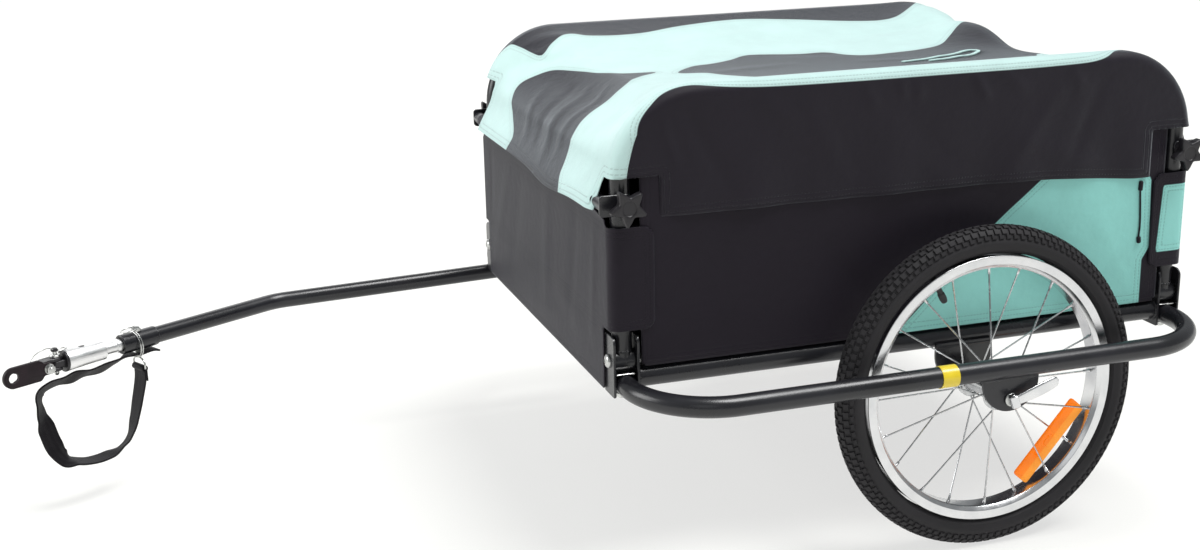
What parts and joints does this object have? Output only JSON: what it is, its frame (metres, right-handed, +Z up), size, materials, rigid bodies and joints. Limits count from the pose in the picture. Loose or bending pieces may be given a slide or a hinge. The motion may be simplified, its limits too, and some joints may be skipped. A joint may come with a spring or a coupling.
{
  "type": "bike cargo trailer",
  "caption": "Two-wheeled bicycle cargo trailer with a fabric box on folding hoops, a cloth cover, wheel guards and an offset drawbar with a hitch.",
  "frame": {"origin": "on the ground, under the middle of the trailer's overall length and width", "axes": "+X forward to the hitch, +Y to the trailer's left, +Z up"},
  "size_m": [1.4196, 0.8156, 0.5668],
  "materials": {
    "frame_paint": "satin black powder coat on steel tube",
    "zinc_steel": "zinc plated, bright",
    "polished_alloy": "polished",
    "spoke_steel": "drawn wire and turned hub, bright",
    "black_plastic": "moulded, fine texture",
    "tyre_rubber": "matt, block tread",
    "inner_tube_rubber": "smooth",
    "mint_cloth": "coated woven cloth",
    "black_cloth": "coated woven cloth",
    "floor_board": "cloth laid over a stiff board",
    "webbing": "woven nylon webbing",
    "yellow_film": "plain yellow band",
    "orange_reflector": "moulded prisms"
  },
  "bodies": {
    "frame": {"axle_left": "zinc_steel", "axle_right": "zinc_steel", "base_frame": "frame_paint", "corner_bracket_front_left": "frame_paint", "corner_bracket_front_right": "frame_paint", "corner_bracket_rear_left": "frame_paint", "corner_bracket_rear_right": "frame_paint", "coupler_tube": "polished_alloy", "cover": "mint_cloth", "drawbar": "frame_paint", "drawbar_socket": "frame_paint", "floor_panel": "floor_board", "front_cross_bar": "frame_paint", "front_wall": "black_cloth", "guard_band_left": "yellow_film", "guard_band_right": "yellow_film", "guard_bolt_front_left": "zinc_steel", "guard_bolt_front_right": "zinc_steel", "guard_bolt_rear_left": "zinc_steel", "guard_bolt_rear_right": "zinc_steel", "guard_left": "frame_paint", "guard_right": "frame_paint", "pivot_bolt_front_left": "zinc_steel", "pivot_bolt_front_right": "zinc_steel", "pivot_bolt_rear_left": "zinc_steel", "pivot_bolt_rear_right": "zinc_steel", "rear_cross_bar": "frame_paint", "rear_wall": "black_cloth", "safety_strap": "webbing", "skewer_left": "zinc_steel", "skewer_right": "zinc_steel", "strap_ring": "zinc_steel"},
    "folding_hoop_left": {"hoop_left": "frame_paint", "side_panel_left": "mint_cloth"},
    "wheel_left": {"tyre_left": "tyre_rubber", "inner_tube_left": "inner_tube_rubber", "rim_left": "polished_alloy", "hub_and_spokes_left": "spoke_steel", "reflector_left": "orange_reflector"},
    "lever_left": {"quick_release_lever_left": "polished_alloy"},
    "folding_hoop_right": {"hoop_right": "frame_paint", "side_panel_right": "mint_cloth"},
    "wheel_right": {"tyre_right": "tyre_rubber", "inner_tube_right": "inner_tube_rubber", "rim_right": "polished_alloy", "hub_and_spokes_right": "spoke_steel", "reflector_right": "orange_reflector"},
    "lever_right": {"quick_release_lever_right": "polished_alloy"},
    "knob_front_left": {"star_knob_front_left": "black_plastic"},
    "knob_front_right": {"star_knob_front_right": "black_plastic"},
    "knob_rear_left": {"star_knob_rear_left": "black_plastic"},
    "knob_rear_right": {"star_knob_rear_right": "black_plastic"},
    "drawbar_retaining_pin": {"drawbar_pin": "zinc_steel"},
    "coupler_retaining_pin": {"lock_pin": "zinc_steel"},
    "swivel": {"coupler_cylinder": "polished_alloy", "swivel_eye": "black_plastic"},
    "fork": {"clevis": "black_plastic", "hitch_bolt": "zinc_steel"},
    "ball_lock_pin": {"hitch_pin": "zinc_steel"},
    "bike_plate": {"hitch_plate": "frame_paint"}
  },
  "joints": [
    {"name": "hoop_left_fold", "type": "hinge", "parent": "frame", "child": "folding_hoop_left", "pos_m": [-0.32435, 0.27, 0.25903], "axis": [1, 0, 0], "range_deg": [0, 87], "deforming": ["cover"]},
    {"name": "hoop_right_fold", "type": "hinge", "parent": "frame", "child": "folding_hoop_right", "pos_m": [-0.32435, -0.27, 0.25903], "axis": [-1, 0, 0], "range_deg": [0, 80], "deforming": ["cover"]},
    {"name": "wheel_left_spin", "type": "hinge", "parent": "frame", "child": "wheel_left", "pos_m": [-0.39385, 0.33845, 0.19353], "axis": [0, 0.9986, 0.0523], "continuous": true},
    {"name": "wheel_right_spin", "type": "hinge", "parent": "frame", "child": "wheel_right", "pos_m": [-0.39385, -0.33845, 0.19353], "axis": [0, 0.9986, -0.0523], "continuous": true},
    {"name": "lever_left_open", "type": "hinge", "parent": "frame", "child": "lever_left", "pos_m": [-0.39385, 0.40191, 0.19686], "axis": [-0.309, 0.0498, -0.9498], "range_deg": [0, 170]},
    {"name": "lever_right_open", "type": "hinge", "parent": "frame", "child": "lever_right", "pos_m": [-0.39385, -0.40191, 0.19686], "axis": [0.309, 0.0498, 0.9498], "range_deg": [0, 170]},
    {"name": "knob_front_left_turn", "type": "hinge", "parent": "frame", "child": "knob_front_left", "pos_m": [0.03315, 0.27, 0.44103], "axis": [0, 1, 0], "continuous": true},
    {"name": "knob_front_right_turn", "type": "hinge", "parent": "frame", "child": "knob_front_right", "pos_m": [0.03315, -0.27, 0.44103], "axis": [0, -1, 0], "continuous": true},
    {"name": "knob_rear_left_turn", "type": "hinge", "parent": "frame", "child": "knob_rear_left", "pos_m": [-0.68185, 0.27, 0.44103], "axis": [0, 1, 0], "continuous": true},
    {"name": "knob_rear_right_turn", "type": "hinge", "parent": "frame", "child": "knob_rear_right", "pos_m": [-0.68185, -0.27, 0.44103], "axis": [0, -1, 0], "continuous": true},
    {"name": "drawbar_pin_pull", "type": "slide", "parent": "frame", "child": "drawbar_retaining_pin", "axis": [0, 0, 1], "range_m": [0, 0.035]},
    {"name": "lock_pin_pull", "type": "slide", "parent": "frame", "child": "coupler_retaining_pin", "axis": [0, 0, 1], "range_m": [0, 0.036]},
    {"name": "hitch_roll", "type": "hinge", "parent": "frame", "child": "swivel", "pos_m": [0.58882, -0.17524, 0.19803], "axis": [0.8686, 0.4955, 0], "range_deg": [-25, 25]},
    {"name": "hitch_yaw", "type": "hinge", "parent": "swivel", "child": "fork", "pos_m": [0.64702, -0.14204, 0.19803], "axis": [0, 0, 1], "range_deg": [-35, 35]},
    {"name": "hitch_pin_pull", "type": "slide", "parent": "fork", "child": "ball_lock_pin", "axis": [0, 0, 1], "range_m": [0, 0.03]},
    {"name": "hitch_pitch", "type": "hinge", "parent": "fork", "child": "bike_plate", "pos_m": [0.66091, -0.13411, 0.19803], "axis": [0.4955, -0.8686, 0], "range_deg": [-8, 35]}
  ]
}
